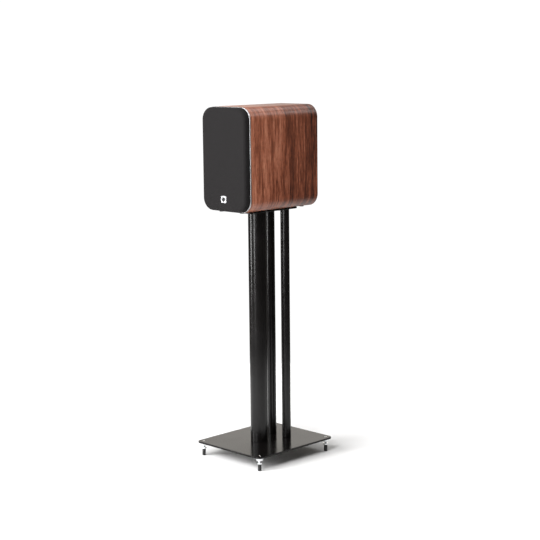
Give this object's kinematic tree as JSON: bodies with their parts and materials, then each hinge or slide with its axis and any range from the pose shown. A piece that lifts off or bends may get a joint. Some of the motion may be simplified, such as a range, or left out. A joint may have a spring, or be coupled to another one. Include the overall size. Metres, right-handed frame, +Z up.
{
  "type": "bookshelf speaker on floor stand",
  "caption": "Two-way ported speaker with rounded walnut cabinet and cloth grille, bolted to a black three-column floor stand on levelling spikes.",
  "frame": {"origin": "on the floor under the middle of the stand's base plate, which is also the middle of the object's box", "axes": "+Z up, the grille faces -Y, +X is the listener's right when looking at the grille along +Y"},
  "size_m": [0.25, 0.29, 0.9693],
  "materials": {
    "walnut_veneer": "satin lacquered walnut veneer on board",
    "silver_trim": "fine satin",
    "black_board": "black satin paint on fibreboard",
    "raw_board": "raw fibreboard",
    "grille_cloth": "fine black woven polyester",
    "black_plastic": "fine moulded texture",
    "red_plastic": "gloss",
    "rubber": "matte",
    "cone_paper": "pressed paper pulp",
    "dome_fabric": "coated woven fabric",
    "spider_cloth": "resin-treated cotton",
    "copper": "enamelled copper winding",
    "brass": "gold-plated brass",
    "zinc_steel": "zinc plated",
    "ferrite": "sintered ferrite",
    "chrome": "polished",
    "black_coat": "satin black powder coat on steel",
    "circuit_board": "glass-epoxy board",
    "film_sleeve": "polyester film sleeve",
    "lead_sleeve": "soft insulation",
    "wadding": "polyester wadding"
  },
  "bodies": {
    "speaker_and_stand": {"cabinet_shell": "walnut_veneer", "trim_ring": "silver_trim", "front_baffle": "black_board", "rear_panel": "black_board", "internal_brace": "raw_board", "woofer_basket": "black_coat", "woofer_surround": "rubber", "woofer_spider": "spider_cloth", "woofer_top_plate": "zinc_steel", "woofer_magnet": "ferrite", "woofer_yoke": "zinc_steel", "tweeter_faceplate": "black_plastic", "tweeter_surround": "rubber", "tweeter_top_plate": "zinc_steel", "tweeter_magnet": "ferrite", "tweeter_yoke": "zinc_steel", "port_tube": "black_plastic", "terminal_cup": "black_plastic", "terminal_post_red": "brass", "terminal_post_black": "brass", "crossover_board": "circuit_board", "crossover_inductor": "copper", "crossover_capacitor": "film_sleeve", "internal_lead_input": "lead_sleeve", "internal_lead_woofer": "lead_sleeve", "internal_lead_tweeter": "lead_sleeve", "damping_wadding": "wadding", "speaker_foot_front_left": "rubber", "speaker_foot_front_right": "rubber", "speaker_foot_rear_left": "rubber", "speaker_foot_rear_right": "rubber", "stand_top_plate": "black_coat", "stand_front_column": "black_coat", "stand_rear_column_left": "black_coat", "stand_rear_column_right": "black_coat", "stand_base_plate": "black_coat", "spike_lock_nut_front_left": "chrome", "spike_lock_nut_front_right": "chrome", "spike_lock_nut_rear_left": "chrome", "spike_lock_nut_rear_right": "chrome"},
    "grille": {"grille_cloth": "grille_cloth", "grille_frame": "black_plastic", "badge_plate": "silver_trim"},
    "woofer_moving_parts": {"woofer_cone": "cone_paper", "woofer_dust_cap": "rubber", "woofer_voice_coil": "copper"},
    "tweeter_moving_parts": {"tweeter_dome": "dome_fabric", "tweeter_voice_coil": "copper"},
    "terminal_clamp_red": {"terminal_washer_red": "brass"},
    "terminal_knob_red": {"terminal_nut_red": "red_plastic"},
    "terminal_clamp_black": {"terminal_washer_black": "brass"},
    "terminal_knob_black": {"terminal_nut_black": "black_plastic"},
    "boot_front_left": {"rubber_boot_front_left": "rubber"},
    "boot_front_right": {"rubber_boot_front_right": "rubber"},
    "boot_rear_left": {"rubber_boot_rear_left": "rubber"},
    "boot_rear_right": {"rubber_boot_rear_right": "rubber"},
    "screw_front_left": {"spike_front_left": "chrome"},
    "screw_front_right": {"spike_front_right": "chrome"},
    "screw_rear_left": {"spike_rear_left": "chrome"},
    "screw_rear_right": {"spike_rear_right": "chrome"}
  },
  "joints": [
    {"name": "grille_pull", "type": "slide", "parent": "speaker_and_stand", "child": "grille", "axis": [0, -1, 0], "range_m": [0, 0.06]},
    {"name": "woofer_travel", "type": "slide", "parent": "speaker_and_stand", "child": "woofer_moving_parts", "axis": [0, -1, 0], "range_m": [-0.004, 0.004], "stiffness_N_per_m": 1200, "deforming": ["woofer_surround", "woofer_spider"]},
    {"name": "tweeter_travel", "type": "slide", "parent": "speaker_and_stand", "child": "tweeter_moving_parts", "axis": [0, -1, 0], "range_m": [-0.0003, 0.0003], "stiffness_N_per_m": 2000, "deforming": ["tweeter_surround"]},
    {"name": "terminal_red_travel", "type": "slide", "parent": "speaker_and_stand", "child": "terminal_clamp_red", "axis": [0, 1, 0], "range_m": [0, 0.004]},
    {"name": "terminal_red_turn", "type": "hinge", "parent": "terminal_clamp_red", "child": "terminal_knob_red", "pos_m": [-0.0095, 0.1067, 0.7763], "axis": [0, 1, 0], "range_deg": [0, 1440.1]},
    {"name": "terminal_black_travel", "type": "slide", "parent": "speaker_and_stand", "child": "terminal_clamp_black", "axis": [0, 1, 0], "range_m": [0, 0.004]},
    {"name": "terminal_black_turn", "type": "hinge", "parent": "terminal_clamp_black", "child": "terminal_knob_black", "pos_m": [0.0095, 0.1067, 0.7763], "axis": [0, 1, 0], "range_deg": [0, 1440.1]},
    {"name": "foot_front_left_travel", "type": "slide", "parent": "speaker_and_stand", "child": "boot_front_left", "axis": [0, 0, -1], "range_m": [0, 0.004]},
    {"name": "foot_front_left_turn", "type": "hinge", "parent": "boot_front_left", "child": "screw_front_left", "pos_m": [-0.1104, -0.1304, 0.02], "axis": [0, 0, -1], "range_deg": [0, 1152.1]},
    {"name": "foot_front_right_travel", "type": "slide", "parent": "speaker_and_stand", "child": "boot_front_right", "axis": [0, 0, -1], "range_m": [0, 0.004]},
    {"name": "foot_front_right_turn", "type": "hinge", "parent": "boot_front_right", "child": "screw_front_right", "pos_m": [0.1104, -0.1304, 0.02], "axis": [0, 0, -1], "range_deg": [0, 1152.1]},
    {"name": "foot_rear_left_travel", "type": "slide", "parent": "speaker_and_stand", "child": "boot_rear_left", "axis": [0, 0, -1], "range_m": [0, 0.004]},
    {"name": "foot_rear_left_turn", "type": "hinge", "parent": "boot_rear_left", "child": "screw_rear_left", "pos_m": [-0.1104, 0.1304, 0.02], "axis": [0, 0, -1], "range_deg": [0, 1152.1]},
    {"name": "foot_rear_right_travel", "type": "slide", "parent": "speaker_and_stand", "child": "boot_rear_right", "axis": [0, 0, -1], "range_m": [0, 0.004]},
    {"name": "foot_rear_right_turn", "type": "hinge", "parent": "boot_rear_right", "child": "screw_rear_right", "pos_m": [0.1104, 0.1304, 0.02], "axis": [0, 0, -1], "range_deg": [0, 1152.1]}
  ],
  "couplings": [
    {"joint": "terminal_red_turn", "follows": "terminal_red_travel", "rad_per_m": 6283.2},
    {"joint": "terminal_black_turn", "follows": "terminal_black_travel", "rad_per_m": 6283.2},
    {"joint": "foot_front_left_turn", "follows": "foot_front_left_travel", "rad_per_m": 5026.5},
    {"joint": "foot_front_right_turn", "follows": "foot_front_right_travel", "rad_per_m": 5026.5},
    {"joint": "foot_rear_left_turn", "follows": "foot_rear_left_travel", "rad_per_m": 5026.5},
    {"joint": "foot_rear_right_turn", "follows": "foot_rear_right_travel", "rad_per_m": 5026.5}
  ]
}
